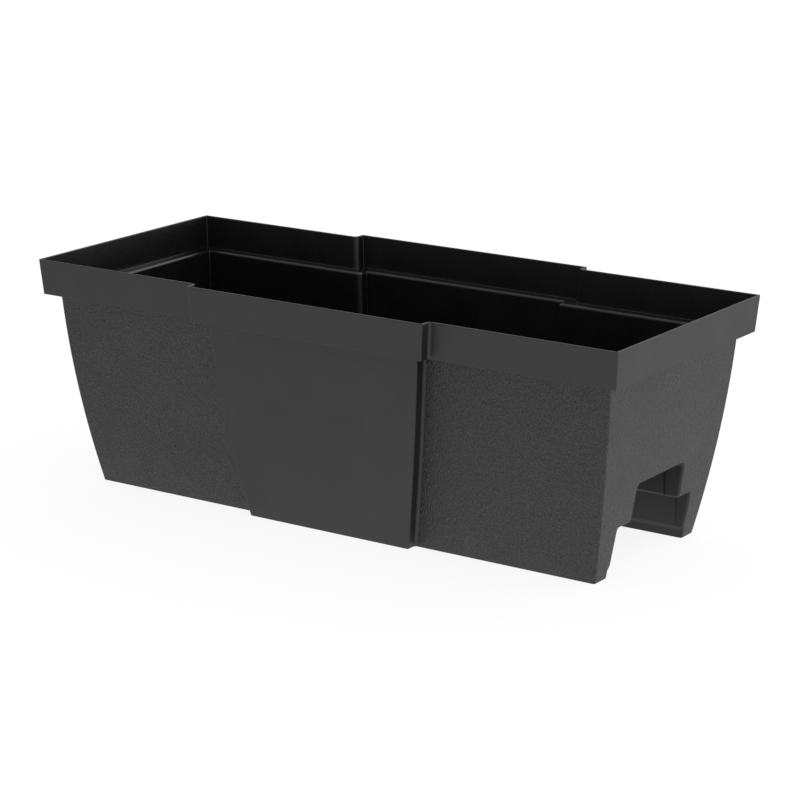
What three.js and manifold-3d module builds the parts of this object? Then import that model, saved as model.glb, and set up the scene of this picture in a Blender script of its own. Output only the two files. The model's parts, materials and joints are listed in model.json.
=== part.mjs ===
// A planter box that sits astride the top of a deck railing: one thin-walled moulding with a
// stepped saddle running the whole length of its underside, and four push-in plugs that close
// the drain holes in its two legs.
// Millimetres. +X runs along the box, -Y is its front, +Z is up, and the soles are at Z = 0.

import * as THREE from "three";
import { mergeVertices } from "three/addons/utils/BufferGeometryUtils.js";
import Module from "manifold-3d";

// The box
const LENGTH = 700; // over the rim, end to end
const HEIGHT = 245.7; // soles to rim
const WALL = 2.5;
const FLOOR = 3; // the floor of each leg
const FOOT_TILT = 11.9; // degrees that the walls lean out at the soles
const TOP_TILT = 4; // and under the rim: between the two they follow one arc
const CORNER_RADIUS = 3.2; // the four upright corners
const SOLE_RADIUS = 1.2; // the edges of the soles
const FLOOR_RADIUS = 4; // where the walls and the saddle meet the floor, inside

// The rim band
const RIM_BAND = 37.8; // its height
const RIM_OVERHANG = 12.7; // how far it stands out from the wall below it
const RIM_DRAFT = 2.9; // how much further out it is at the top
const RIM_CORNER_RADIUS = 1.6;
const RIM_EDGE_RADIUS = 0.8;
const RIM_ROOT_RADIUS = 2.5; // the hollow between the wall and the rim's underside
const LEAST_RADIUS = 0.8; // no corner of the mould is sharper than this

// The middle section, which stands proud of the two end sections, front and back
const PANEL_PROUD = 12.5;
const PANEL_FOOT_HALF = 98.2; // half its width at the soles; it widens as the walls lean out
const PANEL_EDGE_RADIUS = 2.6;
const PANEL_ROOT_RADIUS = 3.5; // the hollow at the foot of the step

// The saddle: the lower slot takes the wide board of a railing, the upper one the narrow board
const WIDE_BOARD = 139.7;
const NARROW_BOARD = 88.9;
const BOARD_THICKNESS = 38.1;
const WIDE_CLEARANCE = 1.5; // on each side
const NARROW_CLEARANCE = 0.25; // on each side, under the roof
const ROOF_CLEARANCE = 0.4; // over the narrow board
const LEG_DEPTH = 51.2; // soles to the ledges that rest on the wide board
const LEG_SOLE = 23.3; // width of a leg's sole beside the end sections
const SADDLE_DRAFT = 0.03; // how much the slots widen for each millimetre downwards
const LEAD_IN = 12.8; // height at which the lower slot starts to widen, on its way down
const LEAD_IN_RUN = 4.4; // the height over which it widens
const LEAD_IN_FLARE = 2.8; // on each side
const LEAD_IN_RADIUS = 1.8;
const ROOF_RADIUS = 4;
const LEDGE_EDGE_RADIUS = 3.6; // where a ledge turns up into the upper slot
const LEDGE_ROOT_RADIUS = 1.5; // where it turns down into the lower slot
const MOUTH_RELIEF = 1.2; // how much wider, on each side, the slots are near the box's ends
const MOUTH_DEPTH = 6; // how far in from the ends of the soles the relief reaches
const MOUTH_ROLL = 2.6; // radius where the end wall rolls into the saddle

// Drain holes and their plugs
const DRAIN_HOLE = 10; // diameter
const DRAIN_SPREAD = 55; // from the middle of the box, along X
const DRAIN_RISE = 3.5; // how far the floor steps up round a hole
const RECESS = 17; // diameter of the hollow that the step leaves under the floor
const SEAT_EDGE_RADIUS = 1; // round the top of the step
const SEAT_GAP = 0.3; // between a plug and everything round it
const PLUG_HEAD = 17; // diameter
const PLUG_HEAD_THICKNESS = 2.2;
const PLUG_DOME = 0.6;
const PLUG_EDGE_RADIUS = 0.7;
const PLUG_NECK_INSET = 0.4; // the neck is this much thinner than the bead, on the radius
const PLUG_BEAD = 1.2; // height of the bead and of the cone under it
const PLUG_BEAD_CHAMFER = 0.4; // the slope on top of the bead
const PLUG_BORE = 5.4; // diameter of the hollow in the stem
const PLUG_SKIN = 1.4; // plastic left over that hollow
const TAB_WIDTH = 9; // the finger tab on the head
const TAB_HEIGHT = 6.5;
const TAB_THICKNESS = 2;
const TAB_ROOT = 0.7; // how deep it is rooted in the head

// Chords in each kind of arc
const CORNER_STEPS = 4;
const ROOT_STEPS = 3;
const EDGE_STEPS = 2;
const ROLL_STEPS = 5;
const WALL_STEPS = 7;
const HOLE_STEPS = 24;
const TAB_STEPS = 8;

const PAST = 20; // how far a cutter runs past what it cuts

const wasm = await Module();
wasm.setup();

// ---------------------------------------------------------------------------------------------
// Sizes worked out from the ones above

const bandBottom = HEIGHT - RIM_BAND;
const footTilt = THREE.MathUtils.degToRad(FOOT_TILT);
const topTilt = THREE.MathUtils.degToRad(TOP_TILT);
const wallArc = bandBottom / (Math.sin(footTilt) - Math.sin(topTilt)); // radius of the walls

// How far the outer face at height z stands outside the outline of the soles.
function flareAt(z) {
  const tilt = Math.asin(Math.sin(footTilt) - z / wallArc);
  return wallArc * (Math.cos(tilt) - Math.cos(footTilt));
}

const flare = flareAt(bandBottom);
const bandGrow = flare + RIM_OVERHANG; // the rim's lower edge
const topGrow = bandGrow + RIM_DRAFT; // its upper edge

const wideHalf = WIDE_BOARD / 2 + WIDE_CLEARANCE; // the lower slot, at the ledges
const kinkHalf = wideHalf + SADDLE_DRAFT * (LEG_DEPTH - LEAD_IN);
const saddleFootHalf = kinkHalf + LEAD_IN_FLARE;
const leadInSlope = Math.atan(LEAD_IN_FLARE / LEAD_IN_RUN);
const slotHeight = BOARD_THICKNESS + ROOF_CLEARANCE;
const roofZ = LEG_DEPTH + slotHeight;
const roofHalf = NARROW_BOARD / 2 + NARROW_CLEARANCE;
const narrowHalf = roofHalf + SADDLE_DRAFT * slotHeight; // the upper slot, at the ledges

const footHalfLength = LENGTH / 2 - topGrow;
const footHalfWidth = saddleFootHalf + LEG_SOLE;
const tunnelHalf = footHalfLength - MOUTH_DEPTH;

const panelFootFace = footHalfWidth + PANEL_PROUD;
const drainY = (saddleFootHalf + panelFootFace) / 2; // the middle of the leg, between its two walls
const seatZ = FLOOR + DRAIN_RISE;

// ---------------------------------------------------------------------------------------------
// Shape helpers

// The closed outline through [x, y, radius, steps] corners, each rounded by an arc of that many
// chords. A corner with no radius stays sharp.
function roundedLoop(corners) {
  return corners.flatMap(([x, y, radius, steps], i) => {
    const corner = new THREE.Vector2(x, y);
    if (!radius) return [corner];
    const towards = ([px, py]) => new THREE.Vector2(px, py).sub(corner).normalize();
    const back = towards(corners.at(i - 1));
    const on = towards(corners[(i + 1) % corners.length]);
    const half = Math.acos(back.dot(on)) / 2;
    const centre = back.clone().add(on).setLength(radius / Math.sin(half)).add(corner);
    const start = back.clone().setLength(radius / Math.tan(half)).add(corner).sub(centre);
    const sweep = -Math.sign(back.cross(on)) * (Math.PI - 2 * half);
    return Array.from({ length: steps + 1 }, (_, k) =>
      start.clone().rotateAround(new THREE.Vector2(), (sweep * k) / steps).add(centre),
    );
  });
}

// Points of an arc about (x, y), from one angle in degrees to another.
function arc(x, y, radius, from, to, steps) {
  return Array.from({ length: steps + 1 }, (_, i) => {
    const angle = THREE.MathUtils.degToRad(from + ((to - from) * i) / steps);
    return [x + radius * Math.cos(angle), y + radius * Math.sin(angle)];
  });
}

// The closed solid through rings of as many points each, with a flat or bent cap on both ends.
// A ring runs anticlockwise seen from the side that the rings advance to, and a cap is filled in
// the two coordinates that are named.
function loft(rings, across, up) {
  const count = rings[0].length;
  const positions = rings.flat().flatMap((point) => point.toArray());
  const faces = [];
  for (let ring = 0; ring + 1 < rings.length; ring++) {
    for (let i = 0; i < count; i++) {
      const a = ring * count + i;
      const b = ring * count + ((i + 1) % count);
      faces.push(a, b, b + count, a, b + count, a + count);
    }
  }
  const flat = (point) => new THREE.Vector2(point[across], point[up]);
  const cap = (ring) => THREE.ShapeUtils.triangulateShape(ring.map(flat), []);
  const last = (rings.length - 1) * count;
  cap(rings[0]).forEach(([a, b, c]) => faces.push(a, c, b));
  cap(rings.at(-1)).forEach(([a, b, c]) => faces.push(last + a, last + b, last + c));
  const geometry = new THREE.BufferGeometry();
  geometry.setAttribute("position", new THREE.Float32BufferAttribute(positions, 3));
  geometry.setIndex(faces);
  return geometry;
}

// A closed three.js geometry as a solid that can be joined and cut.
function solidOf(geometry) {
  const bare = new THREE.BufferGeometry();
  bare.setAttribute("position", geometry.getAttribute("position"));
  bare.setIndex(geometry.index);
  const merged = mergeVertices(bare, 1e-4);
  return new wasm.Manifold(
    new wasm.Mesh({
      numProp: 3,
      vertProperties: new Float32Array(merged.attributes.position.array),
      triVerts: new Uint32Array(merged.index.array),
    }),
  );
}

function geometryOf(solid) {
  const { vertProperties, triVerts } = solid.getMesh();
  const geometry = new THREE.BufferGeometry();
  geometry.setAttribute("position", new THREE.BufferAttribute(vertProperties, 3));
  geometry.setIndex(new THREE.BufferAttribute(triVerts, 1));
  geometry.computeVertexNormals();
  return geometry;
}

// An upright round post between two heights, whose top edge may be rounded.
function post(diameter, bottom, top, x, y, edge = 0) {
  const rim = edge ? arc(diameter / 2 - edge, top - edge, edge, 0, 90, ROOT_STEPS) : [[diameter / 2, top]];
  const profile = [[0, bottom], [diameter / 2, bottom], ...rim, [0, top]];
  const outline = profile.map(([radius, height]) => new THREE.Vector2(radius, height));
  const geometry = new THREE.LatheGeometry(outline, HOLE_STEPS);
  geometry.rotateX(Math.PI / 2);
  geometry.translate(x, y, 0);
  return solidOf(geometry);
}

// ---------------------------------------------------------------------------------------------
// The shell

// Outline of the box at height z. `grow` is how far its outer face stands outside the soles
// there, and `inset` how far inside that face the outline runs.
function wallRing(z, grow, inset = 0) {
  const length = footHalfLength + grow - inset;
  const width = footHalfWidth + grow - inset;
  const panel = PANEL_FOOT_HALF + grow - inset;
  const corner = grow > flare + RIM_ROOT_RADIUS ? RIM_CORNER_RADIUS : CORNER_RADIUS;
  const inner = (radius) => Math.max(radius - inset, LEAST_RADIUS);
  const quarter = [
    [length, width, inner(corner), CORNER_STEPS],
    [panel, width, PANEL_ROOT_RADIUS + inset, ROOT_STEPS],
    [panel, width + PANEL_PROUD, inner(PANEL_EDGE_RADIUS), EDGE_STEPS],
  ];
  const turned = (x, y) => quarter.map(([px, py, ...round]) => [x * px, y * py, ...round]);
  const corners = [
    ...turned(1, 1),
    ...turned(-1, 1).reverse(),
    ...turned(-1, -1),
    ...turned(1, -1).reverse(),
  ];
  return roundedLoop(corners).map(({ x, y }) => new THREE.Vector3(x, y, z));
}

// The arc of the walls, as [grow, z] pairs between two heights.
function wallProfile(bottom, top) {
  return Array.from({ length: WALL_STEPS + 1 }, (_, i) => {
    const z = bottom + ((top - bottom) * i) / WALL_STEPS;
    return [flareAt(z), z];
  });
}

// The box with nothing taken out: sole edge, walls, underside of the rim, rim band.
function outerSolid() {
  const edge = RIM_EDGE_RADIUS;
  const root = RIM_ROOT_RADIUS;
  const profile = [
    ...arc(flareAt(SOLE_RADIUS) - SOLE_RADIUS, SOLE_RADIUS, SOLE_RADIUS, -90, 0, EDGE_STEPS),
    ...wallProfile(SOLE_RADIUS, bandBottom - root).slice(1),
    ...arc(flare + root, bandBottom - root, root, 180, 90, ROOT_STEPS).slice(1),
    ...arc(bandGrow - edge, bandBottom + edge, edge, -90, 0, EDGE_STEPS),
    ...arc(topGrow - edge, HEIGHT - edge, edge, 0, 90, EDGE_STEPS),
  ];
  return solidOf(loft(profile.map(([grow, z]) => wallRing(z, grow)), "x", "y"));
}

// The room inside the walls, from the floor up past the rim. Its rings keep one wall thickness
// inside the outer face, and the shelf behind the rim rolls over the same centre as the hollow
// under it.
function innerSolid() {
  const edge = RIM_EDGE_RADIUS;
  const shelfZ = bandBottom + WALL;
  const rollRadius = RIM_ROOT_RADIUS + WALL;
  const rollZ = bandBottom - RIM_ROOT_RADIUS;
  const profile = [
    ...arc(flareAt(FLOOR) - FLOOR_RADIUS, FLOOR + FLOOR_RADIUS, FLOOR_RADIUS, -90, 0, ROOT_STEPS),
    ...wallProfile(FLOOR + FLOOR_RADIUS, rollZ).slice(1, -1),
    ...arc(flare + rollRadius, rollZ, rollRadius, 180, 90, ROLL_STEPS),
    ...arc(bandGrow - edge, shelfZ + edge, edge, -90, 0, EDGE_STEPS),
    [topGrow, HEIGHT - edge],
    [topGrow + edge, HEIGHT],
    [topGrow + edge, HEIGHT + PAST],
  ];
  return solidOf(loft(profile.map(([grow, z]) => wallRing(z, grow, WALL)), "x", "y"));
}

// Section of the saddle across the box, grown on every side: the foot, the lead-in, the lower
// slot, the ledge and the upper slot of each half. `relief` widens the slots, to the sides only.
function saddleSection(grow, relief, foot) {
  const wider = grow + relief;
  const leadInRise = grow * Math.tan(leadInSlope / 2);
  const ledgeEdge = Math.max(LEDGE_EDGE_RADIUS - wider, LEAST_RADIUS);
  const half = [
    ...foot(saddleFootHalf + grow),
    [saddleFootHalf + grow, LEAD_IN - LEAD_IN_RUN + leadInRise, LEAD_IN_RADIUS, EDGE_STEPS],
    [kinkHalf + grow, LEAD_IN + leadInRise, LEAD_IN_RADIUS, EDGE_STEPS],
    [wideHalf + wider, LEG_DEPTH + grow, LEDGE_ROOT_RADIUS + wider, ROOT_STEPS],
    [narrowHalf + wider, LEG_DEPTH + grow, ledgeEdge, ROOT_STEPS],
    [roofHalf + wider, roofZ + grow, ROOF_RADIUS + wider, CORNER_STEPS],
  ];
  const mirrored = half.map(([y, ...rest]) => [-y, ...rest]).reverse();
  return roundedLoop([...half, ...mirrored]);
}

// The foot of that section: its side, at y, turns outwards into the level it stands on.
function footAt(y, level, radius) {
  const run = 2 * radius;
  return [
    [y + run, -PAST, 0],
    [y + run, level, 0],
    [y, level, radius, ROOT_STEPS],
  ];
}

const soleFoot = (y) => footAt(y, 0, SOLE_RADIUS); // the air between the soles
const floorFoot = (y) => footAt(y, FLOOR, FLOOR_RADIUS); // the plastic over the legs' floors

// A ring of the saddle section. `place` gives the x of a point at height z.
function saddleRing(grow, relief, place, foot = soleFoot) {
  return saddleSection(grow, relief, foot).map(({ x: y, y: z }) => new THREE.Vector3(place(z), y, z));
}

// A solid along the whole box from the rings of its +X half, which the other half mirrors.
function saddleSolid(rings) {
  const mirrored = rings.map((ring) => ring.map(({ x, y, z }) => new THREE.Vector3(-x, y, z)));
  return solidOf(loft([...mirrored.reverse(), ...rings], "y", "z"));
}

// The air of the saddle: the fitted stretch, the wider mouths and the roll into the end walls.
function saddleAir() {
  const endWall = (z) => footHalfLength + flareAt(Math.max(z, 0));
  const roll = arc(MOUTH_ROLL, -MOUTH_ROLL, MOUTH_ROLL, 180, 90, CORNER_STEPS);
  return saddleSolid([
    saddleRing(0, 0, () => tunnelHalf),
    saddleRing(0, MOUTH_RELIEF, () => tunnelHalf),
    ...roll.map(([out, depth]) => saddleRing(out, MOUTH_RELIEF, (z) => endWall(z) + depth)),
    saddleRing(MOUTH_ROLL, MOUTH_RELIEF, (z) => endWall(z) + PAST),
  ]);
}

// The saddle's air and the plastic round it: what the room inside leaves free.
function saddleHump() {
  const step = tunnelHalf - WALL;
  return saddleSolid([
    saddleRing(WALL, 0, () => step, floorFoot),
    saddleRing(WALL, MOUTH_RELIEF, () => step, floorFoot),
    saddleRing(WALL, MOUTH_RELIEF, () => LENGTH / 2 + PAST, floorFoot),
  ]);
}

// Where the drains are: two in each leg, in the wide middle of its floor.
const drains = [
  { name: "front_left", x: -DRAIN_SPREAD, y: -drainY },
  { name: "front_right", x: DRAIN_SPREAD, y: -drainY },
  { name: "rear_left", x: -DRAIN_SPREAD, y: drainY },
  { name: "rear_right", x: DRAIN_SPREAD, y: drainY },
];

function shellSolid() {
  let room = innerSolid().subtract(saddleHump());
  for (const { x, y } of drains) {
    room = room.subtract(post(RECESS + 2 * WALL, -PAST, seatZ, x, y, SEAT_EDGE_RADIUS));
  }
  let shell = outerSolid().subtract(room).subtract(saddleAir());
  for (const { x, y } of drains) {
    shell = shell.subtract(post(RECESS, -PAST, DRAIN_RISE, x, y));
    shell = shell.subtract(post(DRAIN_HOLE, -PAST, seatZ + PAST, x, y));
  }
  return shell;
}

// ---------------------------------------------------------------------------------------------
// A drain plug, with the underside of its head at Z = 0: a domed head with a finger tab, and a
// hollow stem whose bead snaps under the floor.

function plugSolid() {
  const head = PLUG_HEAD / 2;
  const bead = DRAIN_HOLE / 2 - SEAT_GAP;
  const neck = bead - PLUG_NECK_INSET;
  const bore = PLUG_BORE / 2;
  const beadTop = -SEAT_GAP - FLOOR - SEAT_GAP;
  const tip = beadTop - 2 * PLUG_BEAD;
  const edge = PLUG_EDGE_RADIUS;
  const top = PLUG_HEAD_THICKNESS;
  const domeAt = (radius) => top + PLUG_DOME * (1 - (radius / head) ** 2);
  const profile = [
    [0, top - PLUG_SKIN],
    [bore, top - PLUG_SKIN],
    [bore, tip],
    [neck - PLUG_NECK_INSET, tip],
    [bead, tip + PLUG_BEAD],
    [bead, beadTop - PLUG_BEAD_CHAMFER],
    [neck, beadTop],
    [neck, 0],
    ...arc(head - edge, edge, edge, -90, 0, EDGE_STEPS),
    ...arc(head - edge, top - edge, edge, 0, 90, EDGE_STEPS),
    [head / 2, domeAt(head / 2)],
    [0, domeAt(0)],
  ].map(([x, y]) => new THREE.Vector2(x, y));
  const turned = new THREE.LatheGeometry(profile, HOLE_STEPS);
  turned.rotateX(Math.PI / 2);
  return solidOf(turned).add(tabSolid());
}

// The finger tab: a flat upright tongue with a round top.
function tabSolid() {
  const radius = TAB_WIDTH / 2;
  const root = PLUG_HEAD_THICKNESS - TAB_ROOT;
  const top = PLUG_HEAD_THICKNESS + TAB_HEIGHT;
  const outline = new THREE.Shape();
  outline.moveTo(-radius, root);
  outline.lineTo(radius, root);
  outline.absarc(0, top - radius, radius, 0, Math.PI, false);
  const tab = new THREE.ExtrudeGeometry(outline, {
    depth: TAB_THICKNESS,
    bevelEnabled: false,
    curveSegments: TAB_STEPS,
  });
  tab.translate(0, 0, -TAB_THICKNESS / 2);
  tab.rotateX(Math.PI / 2);
  return solidOf(tab);
}

// ---------------------------------------------------------------------------------------------
// The assembly

const shellPlastic = new THREE.MeshStandardMaterial({ color: 0x1b1c1d, roughness: 0.45, metalness: 0 });
const plugPlastic = new THREE.MeshStandardMaterial({ color: 0x161718, roughness: 0.55, metalness: 0 });

const planter = new THREE.Group();
planter.name = "deck_rail_planter";

const shell = new THREE.Mesh(geometryOf(shellSolid()), shellPlastic);
shell.name = "planter_shell";
planter.add(shell);

for (const { name, x, y } of drains) {
  const plug = new THREE.Mesh(geometryOf(plugSolid()), plugPlastic);
  plug.name = `drain_plug_${name}`;
  plug.position.set(x, y, seatZ + SEAT_GAP);
  planter.add(plug);
}

export default planter;
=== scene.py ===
"""A planter box that sits astride the top of a deck railing: one long black moulding with a stepped
saddle along its underside, and a push-in drain plug in each of four holes.

Sizes are in millimetres and are turned into metres where a mesh is made. +X runs along the box,
-Y is its front, +Z is up, and the soles stand at Z = 0.
"""

import json
import math

import bpy
from mathutils import Matrix, Vector

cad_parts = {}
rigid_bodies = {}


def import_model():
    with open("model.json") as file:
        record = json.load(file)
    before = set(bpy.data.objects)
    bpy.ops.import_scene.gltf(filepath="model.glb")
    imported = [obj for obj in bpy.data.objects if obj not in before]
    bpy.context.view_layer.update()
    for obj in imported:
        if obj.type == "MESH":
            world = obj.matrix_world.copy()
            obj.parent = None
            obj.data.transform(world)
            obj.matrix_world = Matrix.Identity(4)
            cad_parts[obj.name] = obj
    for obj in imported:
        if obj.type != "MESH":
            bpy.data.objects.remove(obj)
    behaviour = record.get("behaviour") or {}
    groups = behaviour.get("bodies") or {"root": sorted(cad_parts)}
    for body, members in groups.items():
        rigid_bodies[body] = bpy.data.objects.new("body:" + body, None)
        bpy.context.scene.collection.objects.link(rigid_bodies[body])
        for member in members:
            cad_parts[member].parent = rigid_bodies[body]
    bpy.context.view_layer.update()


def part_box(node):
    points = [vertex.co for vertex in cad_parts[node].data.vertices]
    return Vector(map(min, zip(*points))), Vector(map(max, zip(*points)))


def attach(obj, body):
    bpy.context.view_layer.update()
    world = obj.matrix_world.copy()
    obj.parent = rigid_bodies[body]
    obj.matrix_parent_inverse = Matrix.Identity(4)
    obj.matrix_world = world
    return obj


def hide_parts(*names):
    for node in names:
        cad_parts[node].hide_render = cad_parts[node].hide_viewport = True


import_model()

MM = 0.001
SHELL = "planter_shell"
PLUGS = ("front_left", "front_right", "rear_left", "rear_right")

# ---------------------------------------------------------------------------------------------
# Sizes. The overall ones come from the frame; the others are the moulding's own.

shell_low, shell_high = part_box(SHELL)
LENGTH = (shell_high.x - shell_low.x) / MM
WIDTH = (shell_high.y - shell_low.y) / MM
HEIGHT = shell_high.z / MM

WALL = 2.5
FLOOR = 3
FOOT_TILT = math.radians(11.9)  # how far the walls lean out at the soles
TOP_TILT = math.radians(4)  # and under the rim
CORNER_RADIUS = 2.4
SOLE_RADIUS = 1.2
FLOOR_RADIUS = 4

RIM_BAND = 37.8
RIM_OVERHANG = 12.7
RIM_DRAFT = 2.9
RIM_CORNER_RADIUS = 1.6
RIM_EDGE_RADIUS = 0.8
RIM_ROOT_RADIUS = 2.5
SHELF_ROLL = 3  # where the wall rolls over into the shelf behind the rim band
SHELF_ROOT = 0.4  # where the shelf meets the band
LEAST_RADIUS = 0.8  # no rounding gets tighter than this when a wall is offset

PANEL_PROUD = 12.5
PANEL_FOOT_HALF = 98.2
PANEL_EDGE_RADIUS = 1.7
PANEL_ROOT_RADIUS = 3.5

WIDE_HALF = 71.35  # half the lower slot, at the ledges
ROOF_HALF = 44.7  # half the upper slot, under the roof
SLOT_HEIGHT = 38.5
LEG_DEPTH = 51.2  # soles to ledges
SADDLE_DRAFT = 0.03  # how far a slot widens downwards, as a share of the drop
LEAD_IN = 12.8  # soles to the top of the sloped lead-in
LEAD_IN_RUN = 4.4
LEAD_IN_FLARE = 2.8
LEAD_IN_RADIUS = 1.8
ROOF_RADIUS = 4
LEDGE_EDGE_RADIUS = 3.6
LEDGE_ROOT_RADIUS = 1.5
MOUTH_RELIEF = 1.2  # the slots stand this much wider for the last stretch of MOUTH_DEPTH
MOUTH_DEPTH = 6
MOUTH_ROLL = 2.6  # where the slots roll over into the end walls

DRAIN_HOLE = 10
DRAIN_RISE = 3.5
RECESS = 17
SEAT_EDGE_RADIUS = 1
SEAT_GAP = 0.3  # between a plug and its seat

PLUG_HEAD_THICKNESS = 2.2
PLUG_DOME = 0.6
PLUG_EDGE_RADIUS = 0.7
PLUG_NECK_INSET = 0.4
PLUG_BEAD = 1.2
PLUG_BEAD_CHAMFER = 0.4
PLUG_BORE = 5.4
PLUG_SKIN = 1.4
TAB_WIDTH = 9
TAB_THICKNESS = 2
TAB_ROOT = 0.7
TAB_EDGE_RADIUS = 0.5

# Chords in each kind of arc
CORNER_STEPS = 10
ROOT_STEPS = 8
EDGE_STEPS = 5
ROLL_STEPS = 8
WALL_STEPS = 28
HOLE_STEPS = 72

PAST = 20  # how far a cutter runs past what it cuts
WELD_WITHIN = 0.0005  # points closer than this are one
SHARP_ANGLE = math.radians(32)  # edges that turn by more are drawn sharp
NORMAL_WEIGHT = 100

band_bottom = HEIGHT - RIM_BAND
wall_arc = band_bottom / (math.sin(FOOT_TILT) - math.sin(TOP_TILT))


def flare_at(z):
    """How far the outer face at height z stands outside the outline of the soles."""
    tilt = math.asin(math.sin(FOOT_TILT) - z / wall_arc)
    return wall_arc * (math.cos(tilt) - math.cos(FOOT_TILT))


flare = flare_at(band_bottom)
band_grow = flare + RIM_OVERHANG
top_grow = band_grow + RIM_DRAFT

foot_half_length = LENGTH / 2 - top_grow
foot_half_width = WIDTH / 2 - PANEL_PROUD - top_grow
tunnel_half = foot_half_length - MOUTH_DEPTH

roof_z = LEG_DEPTH + SLOT_HEIGHT
kink_half = WIDE_HALF + SADDLE_DRAFT * (LEG_DEPTH - LEAD_IN)
saddle_foot_half = kink_half + LEAD_IN_FLARE
lead_in_slope = math.atan(LEAD_IN_FLARE / LEAD_IN_RUN)
narrow_half = ROOF_HALF + SADDLE_DRAFT * SLOT_HEIGHT
seat_z = FLOOR + DRAIN_RISE

# ---------------------------------------------------------------------------------------------
# Shape helpers. An outline is a list of 2-D points, a ring a list of 3-D ones.


def rounded_loop(corners):
    """The closed outline through (x, y, radius, steps) corners, each rounded by that many chords."""
    outline = []
    for i, (x, y, radius, steps) in enumerate(corners):
        corner = Vector((x, y))
        if not radius:
            outline.append(corner)
            continue
        before, after = corners[i - 1], corners[(i + 1) % len(corners)]
        back = (Vector(before[:2]) - corner).normalized()
        on = (Vector(after[:2]) - corner).normalized()
        half = math.acos(max(-1, min(1, back.dot(on)))) / 2
        centre = corner + (back + on).normalized() * radius / math.sin(half)
        start = corner + back * radius / math.tan(half) - centre
        turn = back.x * on.y - back.y * on.x
        sweep = -math.copysign(math.pi - 2 * half, turn)
        for k in range(steps + 1):
            outline.append(centre + Matrix.Rotation(sweep * k / steps, 2) @ start)
    return outline


def arc(x, y, radius, first, last, steps):
    """Points of an arc about (x, y), from one angle in degrees to another."""
    angles = [math.radians(first + (last - first) * i / steps) for i in range(steps + 1)]
    return [(x + radius * math.cos(a), y + radius * math.sin(a)) for a in angles]


def piece(name, points, faces, slots=None):
    """A mesh object from points in millimetres. slots gives each face's material slot."""
    mesh = bpy.data.meshes.new(name)
    mesh.from_pydata([Vector(p) * MM for p in points], [], faces)
    if slots:
        mesh.polygons.foreach_set("material_index", slots)
    obj = bpy.data.objects.new(name, mesh)
    bpy.context.scene.collection.objects.link(obj)
    return obj


def loft(name, rings, slot_at=lambda centre: 0):
    """The closed solid through rings of as many points each. slot_at gives the material slot of a
    face from its centre."""
    count = len(rings[0])
    points = [p for ring in rings for p in ring]
    faces = [list(range(count))[::-1], [len(points) - count + i for i in range(count)]]
    for start in range(0, len(points) - count, count):
        for i in range(count):
            a, b = start + i, start + (i + 1) % count
            faces.append([a, b, b + count, a + count])
    centres = [sum((points[i] for i in face), Vector()) / len(face) for face in faces]
    return piece(name, points, faces, [slot_at(centre) for centre in centres])


def turned(name, outline, x=0, y=0, slot=0):
    """The solid that an outline of (radius, z) points, from axis to axis, sweeps round an upright
    axis."""
    points, faces = [], []
    inner = outline[1:-1]
    for k in range(HOLE_STEPS):
        angle = 2 * math.pi * k / HOLE_STEPS
        points += [Vector((x + r * math.cos(angle), y + r * math.sin(angle), z)) for r, z in inner]
    first, last = len(points), len(points) + 1
    points += [Vector((x, y, outline[0][1])), Vector((x, y, outline[-1][1]))]
    for k in range(HOLE_STEPS):
        here, there = k * len(inner), (k + 1) % HOLE_STEPS * len(inner)
        faces.append([first, there, here])
        faces.append([last, here + len(inner) - 1, there + len(inner) - 1])
        for i in range(len(inner) - 1):
            faces.append([here + i, there + i, there + i + 1, here + i + 1])
    return piece(name, points, faces, [slot] * len(faces))


def combine(obj, operation, *others):
    """Joins other solids to obj ("UNION") or takes them away ("DIFFERENCE") when it is evaluated."""
    for other in others:
        step = obj.modifiers.new(other.name, "BOOLEAN")
        step.operation = operation
        step.solver = "MANIFOLD"
        step.object = other


def finished(obj, name):
    """obj's evaluated mesh as a new smooth-shaded object; the solids it was made of, which are all
    named cut_, are removed. Points that the cuts leave all but on top of each other are made one."""
    weld = obj.modifiers.new("weld", "WELD")
    weld.merge_threshold = WELD_WITHIN * MM
    bpy.context.view_layer.update()
    evaluated = obj.evaluated_get(bpy.context.evaluated_depsgraph_get())
    mesh = bpy.data.meshes.new_from_object(evaluated)
    mesh.name = name
    for used in [o for o in bpy.context.scene.objects if o.name.startswith("cut_")]:
        bpy.data.objects.remove(used)
    mesh.shade_smooth()
    mesh.set_sharp_from_angle(angle=SHARP_ANGLE)
    done = bpy.data.objects.new(name, mesh)
    bpy.context.scene.collection.objects.link(done)
    weighted = done.modifiers.new("weighted_normals", "WEIGHTED_NORMAL")
    weighted.keep_sharp = True
    weighted.weight = NORMAL_WEIGHT
    return done


# ---------------------------------------------------------------------------------------------
# The shell

SMOOTH, GRAINED, INSIDE, UNDERSIDE = range(4)  # its material slots


def wall_ring(z, grow, inset=0):
    """Outline of the box at height z, inset from an outer face that stands grow outside the soles."""
    length = foot_half_length + grow - inset
    width = foot_half_width + grow - inset
    panel = PANEL_FOOT_HALF + grow - inset
    corner = RIM_CORNER_RADIUS if grow > flare + RIM_ROOT_RADIUS else CORNER_RADIUS
    quarter = [
        (length, width, max(corner - inset, LEAST_RADIUS), CORNER_STEPS),
        (panel, width, PANEL_ROOT_RADIUS + inset, ROOT_STEPS),
        (panel, width + PANEL_PROUD, max(PANEL_EDGE_RADIUS - inset, LEAST_RADIUS), EDGE_STEPS),
    ]
    corners = []
    for x, y, order in ((1, 1, 1), (-1, 1, -1), (-1, -1, 1), (1, -1, -1)):
        corners += [(x * px, y * py, radius, steps) for px, py, radius, steps in quarter][::order]
    return [Vector((p.x, p.y, z)) for p in rounded_loop(corners)]


def wall_profile(bottom, top):
    """The arc of the walls, as (grow, z) pairs between two heights."""
    heights = [bottom + (top - bottom) * i / WALL_STEPS for i in range(WALL_STEPS + 1)]
    return [(flare_at(z), z) for z in heights]


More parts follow.
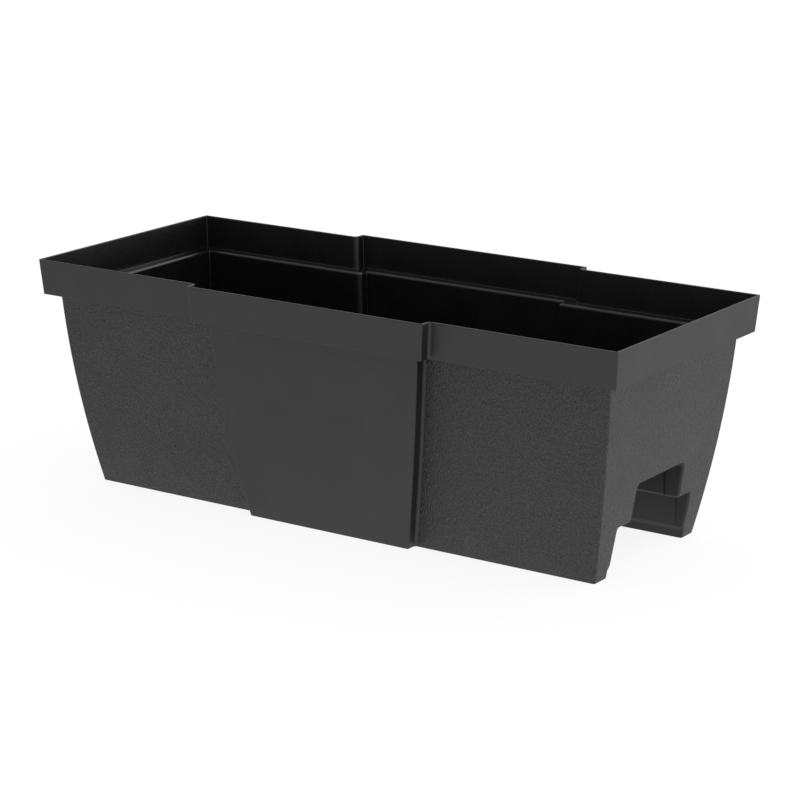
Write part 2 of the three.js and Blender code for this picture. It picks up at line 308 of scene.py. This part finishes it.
def outer_slot(centre):
    """The grain covers the end walls and the end sections, up to the rim's hollow."""
    x, z = abs(centre.x), centre.z
    if not SOLE_RADIUS < z < band_bottom - RIM_ROOT_RADIUS:
        return SMOOTH
    return GRAINED if x > PANEL_FOOT_HALF + flare_at(z) + PANEL_ROOT_RADIUS else SMOOTH


def outer_solid():
    edge, root, sole = RIM_EDGE_RADIUS, RIM_ROOT_RADIUS, SOLE_RADIUS
    profile = arc(flare_at(sole) - sole, sole, sole, -90, 0, EDGE_STEPS)
    profile += wall_profile(sole, band_bottom - root)[1:]
    profile += arc(flare + root, band_bottom - root, root, 180, 90, ROOT_STEPS)[1:]
    profile += arc(band_grow - edge, band_bottom + edge, edge, -90, 0, EDGE_STEPS)
    profile += arc(top_grow - edge, HEIGHT - edge, edge, 0, 90, EDGE_STEPS)
    return loft("cut_outer", [wall_ring(z, grow) for grow, z in profile], outer_slot)


def inner_solid():
    edge, root, roll = RIM_EDGE_RADIUS, SHELF_ROOT, SHELF_ROLL
    shelf_z = band_bottom + WALL
    roll_z = shelf_z - roll
    floor_z = FLOOR + FLOOR_RADIUS
    profile = arc(flare_at(FLOOR) - FLOOR_RADIUS, floor_z, FLOOR_RADIUS, -90, 0, ROOT_STEPS)
    profile += wall_profile(floor_z, roll_z)[1:-1]
    profile += arc(flare_at(roll_z) + roll, roll_z, roll, 180, 90, ROLL_STEPS)
    profile += arc(band_grow - root, shelf_z + root, root, -90, 0, EDGE_STEPS)
    profile += arc(top_grow + edge, HEIGHT - edge, edge, 180, 90, EDGE_STEPS)
    profile += [(top_grow + edge, HEIGHT + PAST)]
    rings = [wall_ring(z, grow, WALL) for grow, z in profile]
    return loft("cut_inner", rings, lambda centre: INSIDE if centre.z < HEIGHT - edge else SMOOTH)


def saddle_ring(grow, relief, place, level, radius):
    """A ring of the saddle's section, grown on every side, with slots that relief widens to the
    sides. place gives the x of a point at height z, and the section's feet turn outwards, by the
    radius, into the level that they stand on."""
    foot = saddle_foot_half + grow
    wider = grow + relief
    lead_in_rise = grow * math.tan(lead_in_slope / 2)
    ledge_edge = max(LEDGE_EDGE_RADIUS - wider, LEAST_RADIUS)
    half = [
        (foot + 2 * radius, -PAST, 0, 0),
        (foot + 2 * radius, level, 0, 0),
        (foot, level, radius, ROOT_STEPS),
        (foot, LEAD_IN - LEAD_IN_RUN + lead_in_rise, LEAD_IN_RADIUS, ROOT_STEPS),
        (kink_half + grow, LEAD_IN + lead_in_rise, LEAD_IN_RADIUS, ROOT_STEPS),
        (WIDE_HALF + wider, LEG_DEPTH + grow, LEDGE_ROOT_RADIUS + wider, ROOT_STEPS),
        (narrow_half + wider, LEG_DEPTH + grow, ledge_edge, ROOT_STEPS),
        (ROOF_HALF + wider, roof_z + grow, ROOF_RADIUS + wider, CORNER_STEPS),
    ]
    mirrored = [(-y, *rest) for y, *rest in half][::-1]
    return [Vector((place(p.y), p.x, p.y)) for p in rounded_loop(half + mirrored)]


def saddle_solid(name, grow, step, end_wall, roll, level, radius, slot):
    """A solid along the whole box: the fitted stretch, the wider mouths from step on, and the roll
    of its sides into the end walls."""
    def ring(more, relief, place):
        return saddle_ring(grow + more, relief, place, level, radius)

    rings = [ring(0, 0, lambda z: step), ring(0, MOUTH_RELIEF, lambda z: step)]
    for out, depth in arc(roll, -roll, roll, 180, 90, ROLL_STEPS):
        rings.append(ring(out, MOUTH_RELIEF, lambda z: end_wall(z) + depth))
    rings.append(ring(roll, MOUTH_RELIEF, lambda z: end_wall(z) + PAST))
    mirrored = [[Vector((-p.x, p.y, p.z)) for p in ring] for ring in rings][::-1]
    return loft(name, mirrored + rings, lambda centre: slot)


def end_face(z):
    return foot_half_length + flare_at(max(z, 0))


def saddle_air():
    return saddle_solid("cut_air", 0, tunnel_half, end_face, MOUTH_ROLL, 0, SOLE_RADIUS, UNDERSIDE)


def saddle_hump():
    def inner_face(z):
        return end_face(z) - WALL

    step = tunnel_half - WALL
    return saddle_solid(
        "cut_hump", WALL, step, inner_face, LEAST_RADIUS, FLOOR, FLOOR_RADIUS, INSIDE
    )


def post(name, diameter, top, x, y, slot, edge=0):
    """An upright round post from below the soles, whose top edge may be rounded."""
    radius = diameter / 2
    rim = arc(radius - edge, top - edge, edge, 0, 90, EDGE_STEPS) if edge else [(radius, top)]
    return turned(name, [(0, -PAST), (radius, -PAST), *rim, (0, top)], x, y, slot)


def plug_place(name):
    """Where the axis of a plug stands, and how high the underside of its head lies."""
    low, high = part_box("drain_plug_" + name)
    return (low.x + high.x) / 2 / MM, (low.y + high.y) / 2 / MM, seat_z + SEAT_GAP


def shell_piece(finishes):
    """The whole shell. finishes are its materials, in the order of the slots."""
    outer, room, hump, air = outer_solid(), inner_solid(), saddle_hump(), saddle_air()
    seats, drains = [], []
    for name in PLUGS:
        x, y, _ = plug_place(name)
        seat_width = RECESS + 2 * WALL
        seats.append(post("cut_seat", seat_width, seat_z, x, y, INSIDE, SEAT_EDGE_RADIUS))
        drains.append(post("cut_recess", RECESS, DRAIN_RISE, x, y, UNDERSIDE))
        drains.append(post("cut_hole", DRAIN_HOLE, seat_z + PAST, x, y, UNDERSIDE))
    for solid in (outer, room, hump, air, *seats, *drains):
        for finish in finishes:  # each solid needs every slot, or the cuts lose its faces' slots
            solid.data.materials.append(finish)
    combine(room, "DIFFERENCE", hump, *seats)
    combine(outer, "DIFFERENCE", room, air, *drains)
    return finished(outer, "shell")


# ---------------------------------------------------------------------------------------------
# A drain plug: a domed head with a finger tab, and a hollow stem whose bead snaps under the floor


def plug_outline(head, stem_bottom, under):
    """(radius, z) points of the plug, from the top of its bore round to the top of its head."""
    bead = DRAIN_HOLE / 2 - SEAT_GAP
    neck = bead - PLUG_NECK_INSET
    bead_top = under - SEAT_GAP - FLOOR - SEAT_GAP
    top = under + PLUG_HEAD_THICKNESS
    edge = PLUG_EDGE_RADIUS
    outline = [(0, top - PLUG_SKIN), (PLUG_BORE / 2, top - PLUG_SKIN), (PLUG_BORE / 2, stem_bottom)]
    outline += [(neck - PLUG_NECK_INSET, stem_bottom), (bead, stem_bottom + PLUG_BEAD)]
    outline += [(bead, bead_top - PLUG_BEAD_CHAMFER), (neck, bead_top), (neck, under)]
    outline += arc(head - edge, under + edge, edge, -90, 0, EDGE_STEPS)
    outline += arc(head - edge, top - edge, edge, 0, 90, EDGE_STEPS)
    for k in range(1, ROLL_STEPS + 1):
        radius = (head - edge) * (1 - k / ROLL_STEPS)
        outline.append((radius, top + PLUG_DOME * (1 - (radius / (head - edge)) ** 2)))
    return outline


def tab_piece(name, x, y, bottom, top):
    """The finger tab: an upright tongue with a round top and softened edges."""
    radius = TAB_WIDTH / 2

    def outline(inset):
        tip = arc(0, top - radius, radius - inset, 0, 180, HOLE_STEPS // 2)
        return [(radius - inset, bottom), *tip, (-(radius - inset), bottom)]

    edge = TAB_EDGE_RADIUS
    half = TAB_THICKNESS / 2
    profile = arc(half - edge, edge, edge, 0, -90, EDGE_STEPS)[::-1]
    sides = [(-place, inset) for place, inset in profile[::-1]] + profile
    rings = []
    for place, inset in sides:
        ring = [Vector((x + px, y - place, pz)) for px, pz in outline(inset)]
        rings.append(ring)
    return loft(name, rings)


def plug_piece(name):
    x, y, under = plug_place(name)
    low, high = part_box("drain_plug_" + name)
    outline = plug_outline((high.x - low.x) / MM / 2, low.z / MM, under)
    body = turned("cut_plug", outline, x, y)
    tab = tab_piece("cut_tab", x, y, under + PLUG_HEAD_THICKNESS - TAB_ROOT, high.z / MM)
    combine(body, "UNION", tab)
    return finished(body, "plug_" + name)


# ---------------------------------------------------------------------------------------------
# Materials

# Noise scales, in cells to the metre
FLOW_SCALE = 7.0
POLISH_SCALE = 26.0
PAPER_SCALE = 40.0
SCUFF_SCALE = 60.0
MOTTLE_SCALE = 240.0
WARP_SCALE = 300.0
SATIN_SCALE = 1600.0
NOISE_SPAN = (0.3, 0.7)  # nearly all of a noise's values lie between these

PLASTIC_IOR = 1.62
FLOW_TONE = 0.18  # how far pigment and mottle turn the colour up and down, as shares of it
MOTTLE_TONE = 0.12
POLISH_ROUGHNESS = 0.02
SATIN_HEIGHT = 0.004  # of the fine etched finish, in millimetres
SCUFF_COLOUR = 3.2  # a scuff is this many times as light as the plastic
SCUFF_ROUGHNESS = 0.08
RIM_SCUFF = 2.2  # how far scuffs reach down from the rim, and up from the soles
SOLE_SCUFF = 1.4
PEBBLE_PITCH = 1.3  # millimetres
PEBBLE_WARP = 0.0009
PEBBLE_SQUEEZE = (1.05, 1.05, 0.5)  # makes the pebbles twice as tall as they are wide
PEBBLE_PAINTED_SHADE = (0.78, 1.28)  # painted shade and sheen: shine in the pits, lowered for the shade that falls in them, and on the tops, raised, as shares of the plastic's


class Nodes:
    """The node tree of a material or world, with one line for each node."""

    def __init__(self, owner):
        owner.use_nodes = True
        self.owner = owner
        self.tree = owner.node_tree
        self.tree.nodes.clear()

    def add(self, kind, inputs=None, **settings):
        """A node with its settings, and with values or other nodes' outputs at its inputs."""
        node = self.tree.nodes.new("ShaderNode" + kind)
        for key, value in settings.items():
            setattr(node, key, value)
        for key, value in (inputs or {}).items():
            if isinstance(value, bpy.types.NodeSocket):
                self.tree.links.new(value, node.inputs[key])
            else:
                node.inputs[key].default_value = value
        return node

    def noise(self, where, scale, detail=2.0, roughness=0.5):
        inputs = {"Vector": where, "Scale": scale, "Detail": detail, "Roughness": roughness}
        return self.add("TexNoise", inputs).outputs["Fac"]

    def ranged(self, value, low, high, to_low, to_high):
        """value carried from one range to another, and held at its ends."""
        inputs = {"Value": value, "From Min": low, "From Max": high, "To Min": to_low, "To Max": to_high}
        return self.add("MapRange", inputs).outputs["Result"]

    def varied(self, noise, middle, swing):
        """A noise carried to the range that swing spans on both sides of middle."""
        return self.ranged(noise, *NOISE_SPAN, middle - swing, middle + swing)

    def math(self, operation, a, b):
        return self.add("Math", {0: a, 1: b}, operation=operation).outputs[0]

    def bump(self, height, distance, normal=None):
        """The normal of a surface that height raises by up to distance millimetres."""
        inputs = {"Height": height, "Distance": distance * MM, "Strength": 1.0}
        if normal:
            inputs["Normal"] = normal
        return self.add("Bump", inputs).outputs[0]

    def finish(self, output, shader):
        self.add(output, {"Surface": shader})
        return self.owner


def grey(level):
    return (level, level, level, 1.0)


def moulded_plastic(name, colour, roughness, shine=0.5, grain=0.0, satin=SATIN_HEIGHT):
    """A black moulded plastic. shine is the specular level of its surface, and grain and satin are the
    heights in millimetres of its pebbles and of its fine etched finish. Where there are pebbles, their
    pits get less shine and their tops more, as painted shade and sheen."""
    n = Nodes(bpy.data.materials.new(name))
    where = n.add("TexCoord").outputs["Object"]

    # Pigment and polish vary a little with the flow of the plastic, and edges that are handled or
    # stood on are scuffed lighter in patches.
    scuff = edge_wear(n, where)
    flow = n.varied(n.noise(where, FLOW_SCALE, 4.0), 1.0, FLOW_TONE)
    mottle = n.varied(n.noise(where, MOTTLE_SCALE, 3.0, 0.6), 1.0, MOTTLE_TONE)
    colours = {"Factor": scuff, "A": grey(colour), "B": grey(colour * SCUFF_COLOUR)}
    base = n.add("Mix", colours, data_type="RGBA").outputs["Result"]
    tone = n.math("MULTIPLY", flow, mottle)
    toned = n.add("HueSaturation", {"Value": tone, "Color": base}).outputs["Color"]
    polish = n.varied(n.noise(where, POLISH_SCALE, 3.0), roughness, POLISH_ROUGHNESS)
    polish = n.math("ADD", polish, n.math("MULTIPLY", scuff, SCUFF_ROUGHNESS))

    normal = n.bump(n.noise(where, SATIN_SCALE, 1.0), satin)
    if grain:
        height = pebbles(n, where)
        normal = n.bump(height, grain, normal)
        # Painted shade: the pits of the grain reflect less than its tops, standing in for the shade that
        # falls into them.
        pits, tops = PEBBLE_PAINTED_SHADE
        shine = n.ranged(height, 0.15, 0.85, shine * pits, shine * tops)

    look = {"Base Color": toned, "Roughness": polish, "Normal": normal}
    look.update({"IOR": PLASTIC_IOR, "Specular IOR Level": shine})
    return n.finish("OutputMaterial", n.add("BsdfPrincipled", look).outputs[0])


def pebbles(n, where):
    """The height of a leathery pebble grain, from 0 in its pits to 1 on its tops."""
    warp = n.add("TexNoise", {"Vector": where, "Scale": WARP_SCALE, "Detail": 2.0}).outputs["Color"]
    bent = n.add("Mix", {"Factor": PEBBLE_WARP, "A": where, "B": warp}, data_type="VECTOR")
    squeezed = n.add("Mapping", {"Vector": bent.outputs["Result"], "Scale": PEBBLE_SQUEEZE})
    cells = n.add(
        "TexVoronoi",
        {"Vector": squeezed.outputs[0], "Scale": 1 / (PEBBLE_PITCH * MM), "Smoothness": 0.4},
        feature="SMOOTH_F1",
    )
    return n.ranged(cells.outputs["Distance"], 0.05, 0.75, 1.0, 0.0)


def edge_wear(n, where):
    """Patches along the rim's upper edge and the edges of the soles, from 0 to 1."""
    height = n.add("SeparateXYZ", {"Vector": where}).outputs["Z"]
    rim = n.ranged(height, (HEIGHT - RIM_SCUFF) * MM, HEIGHT * MM, 0.0, 1.0)
    soles = n.ranged(height, 0.0, SOLE_SCUFF * MM, 1.0, 0.0)
    patches = n.ranged(n.noise(where, SCUFF_SCALE, 5.0, 0.7), 0.5, 0.72, 0.0, 1.0)
    return n.math("MULTIPLY", n.math("MAXIMUM", rim, soles), patches)


# ---------------------------------------------------------------------------------------------
# Camera, light and floor

SENSOR = 36.0
IMAGE_SIDE = 800
FOCAL_PIXELS = 2766.6
CAMERA_AZIMUTH = math.radians(34.039)
CAMERA_ELEVATION = math.radians(15.188)
CAMERA_ROLL = math.radians(0.208)
CAMERA_DISTANCE = 2.8694
CAMERA_REACH = 200
AIM_RIGHT = 0.010599  # the point aimed at lies this far towards the picture's right
AIM_HEIGHT = 0.11449

ROOM_BRIGHT_SIDE = (0.6, 0.8, 0.0)
ROOM_BRIGHTEST = 1.5
ROOM_DIMMEST = 0.35

FLOOR_SIZE = 60.0
FLOOR_WHITE = 1.04
FLOOR_SHADOW_LIFT = 0.85  # how much of the floor's shadow the camera doesn't see


def make_camera():
    right = Vector((math.cos(CAMERA_AZIMUTH), math.sin(CAMERA_AZIMUTH), 0))
    level = math.cos(CAMERA_ELEVATION)
    back = Vector((right.y * level, -right.x * level, math.sin(CAMERA_ELEVATION)))
    up = back.cross(right)
    cos, sin = math.cos(CAMERA_ROLL), math.sin(CAMERA_ROLL)
    aim = right * AIM_RIGHT + Vector((0, 0, AIM_HEIGHT))
    place = Matrix((right * cos + up * sin, up * cos - right * sin, back)).transposed().to_4x4()
    place.translation = aim + back * CAMERA_DISTANCE
    camera = bpy.data.objects.new("camera", bpy.data.cameras.new("camera"))
    camera.data.sensor_width = SENSOR
    camera.data.lens = SENSOR * FOCAL_PIXELS / IMAGE_SIDE
    camera.data.clip_end = CAMERA_REACH
    camera.matrix_world = place
    bpy.context.scene.collection.objects.link(camera)
    bpy.context.scene.camera = camera


def make_light():
    """A white room that is the only lamp: brightest behind the box's right end and dimmest in front
    of its left one. The camera sees it plain white."""
    world = bpy.data.worlds.new("room")
    n = Nodes(world)
    facing = {0: n.add("TexCoord").outputs["Generated"], 1: ROOM_BRIGHT_SIDE}
    toward = n.add("VectorMath", facing, operation="DOT_PRODUCT").outputs["Value"]
    level = n.ranged(toward, -1.0, 1.0, ROOM_DIMMEST, ROOM_BRIGHTEST)
    by_camera = n.add("LightPath").outputs["Is Camera Ray"]
    seen = n.add("Mix", {"Factor": by_camera, "A": level, "B": 1.0}).outputs["Result"]
    glow = n.add("Background", {"Color": grey(1.0), "Strength": seen})
    bpy.context.scene.world = n.finish("OutputWorld", glow.outputs[0])


def floor_material():
    """White paper that takes a soft shadow. Reflections see it plain white, and most of its shadow
    is lifted for the camera."""
    n = Nodes(bpy.data.materials.new("white_floor"))
    where = n.add("TexCoord").outputs["Object"]
    paper = n.ranged(n.noise(where, PAPER_SCALE, 4.0), *NOISE_SPAN, 0.985, 1.0)
    shade = n.add("BsdfDiffuse", {"Color": paper})
    glow = n.add("Emission", {"Color": grey(1.0), "Strength": FLOOR_WHITE})
    light = n.add("LightPath").outputs
    seen = n.math("MULTIPLY", light["Is Camera Ray"], FLOOR_SHADOW_LIFT)
    mirrored = n.math("MAXIMUM", light["Is Glossy Ray"], light["Is Transmission Ray"])
    share = n.math("MAXIMUM", seen, mirrored)
    mixed = n.add("MixShader", {0: share, 1: shade.outputs[0], 2: glow.outputs[0]})
    return n.finish("OutputMaterial", mixed.outputs[0])


def make_floor():
    half = FLOOR_SIZE / MM / 2
    corners = [(-half, -half, 0), (half, -half, 0), (half, half, 0), (-half, half, 0)]
    floor = piece("floor", [Vector(corner) for corner in corners], [[0, 1, 2, 3]])
    floor.data.materials.append(floor_material())


# ---------------------------------------------------------------------------------------------
# The scene


def make_shell():
    shell = shell_piece([
        moulded_plastic("smooth_shell", colour=0.006, roughness=0.56),
        moulded_plastic("grained_shell", colour=0.006, roughness=0.56, shine=0.575, grain=0.6),
        # Painted shade: the inside and the underside are the same plastic as the outside, given less
        # colour and less shine so that they come out darker where the shell shades itself.
        moulded_plastic("inside_shell_painted_shade", colour=0.003, roughness=0.27, shine=0.44, satin=0.002),
        moulded_plastic("underside_shell_painted_shade", colour=0.005, roughness=0.54, shine=0.4),
    ])
    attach(shell, "planter")
    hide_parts(SHELL)


def make_plugs():
    plastic = moulded_plastic("plug", colour=0.006, roughness=0.5, satin=0.006)
    for name in PLUGS:
        plug = plug_piece(name)
        plug.data.materials.append(plastic)
        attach(plug, name + "_plug")
        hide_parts("drain_plug_" + name)


bpy.context.scene.view_settings.view_transform = "Standard"
make_camera()
make_light()
make_floor()
make_shell()
make_plugs()
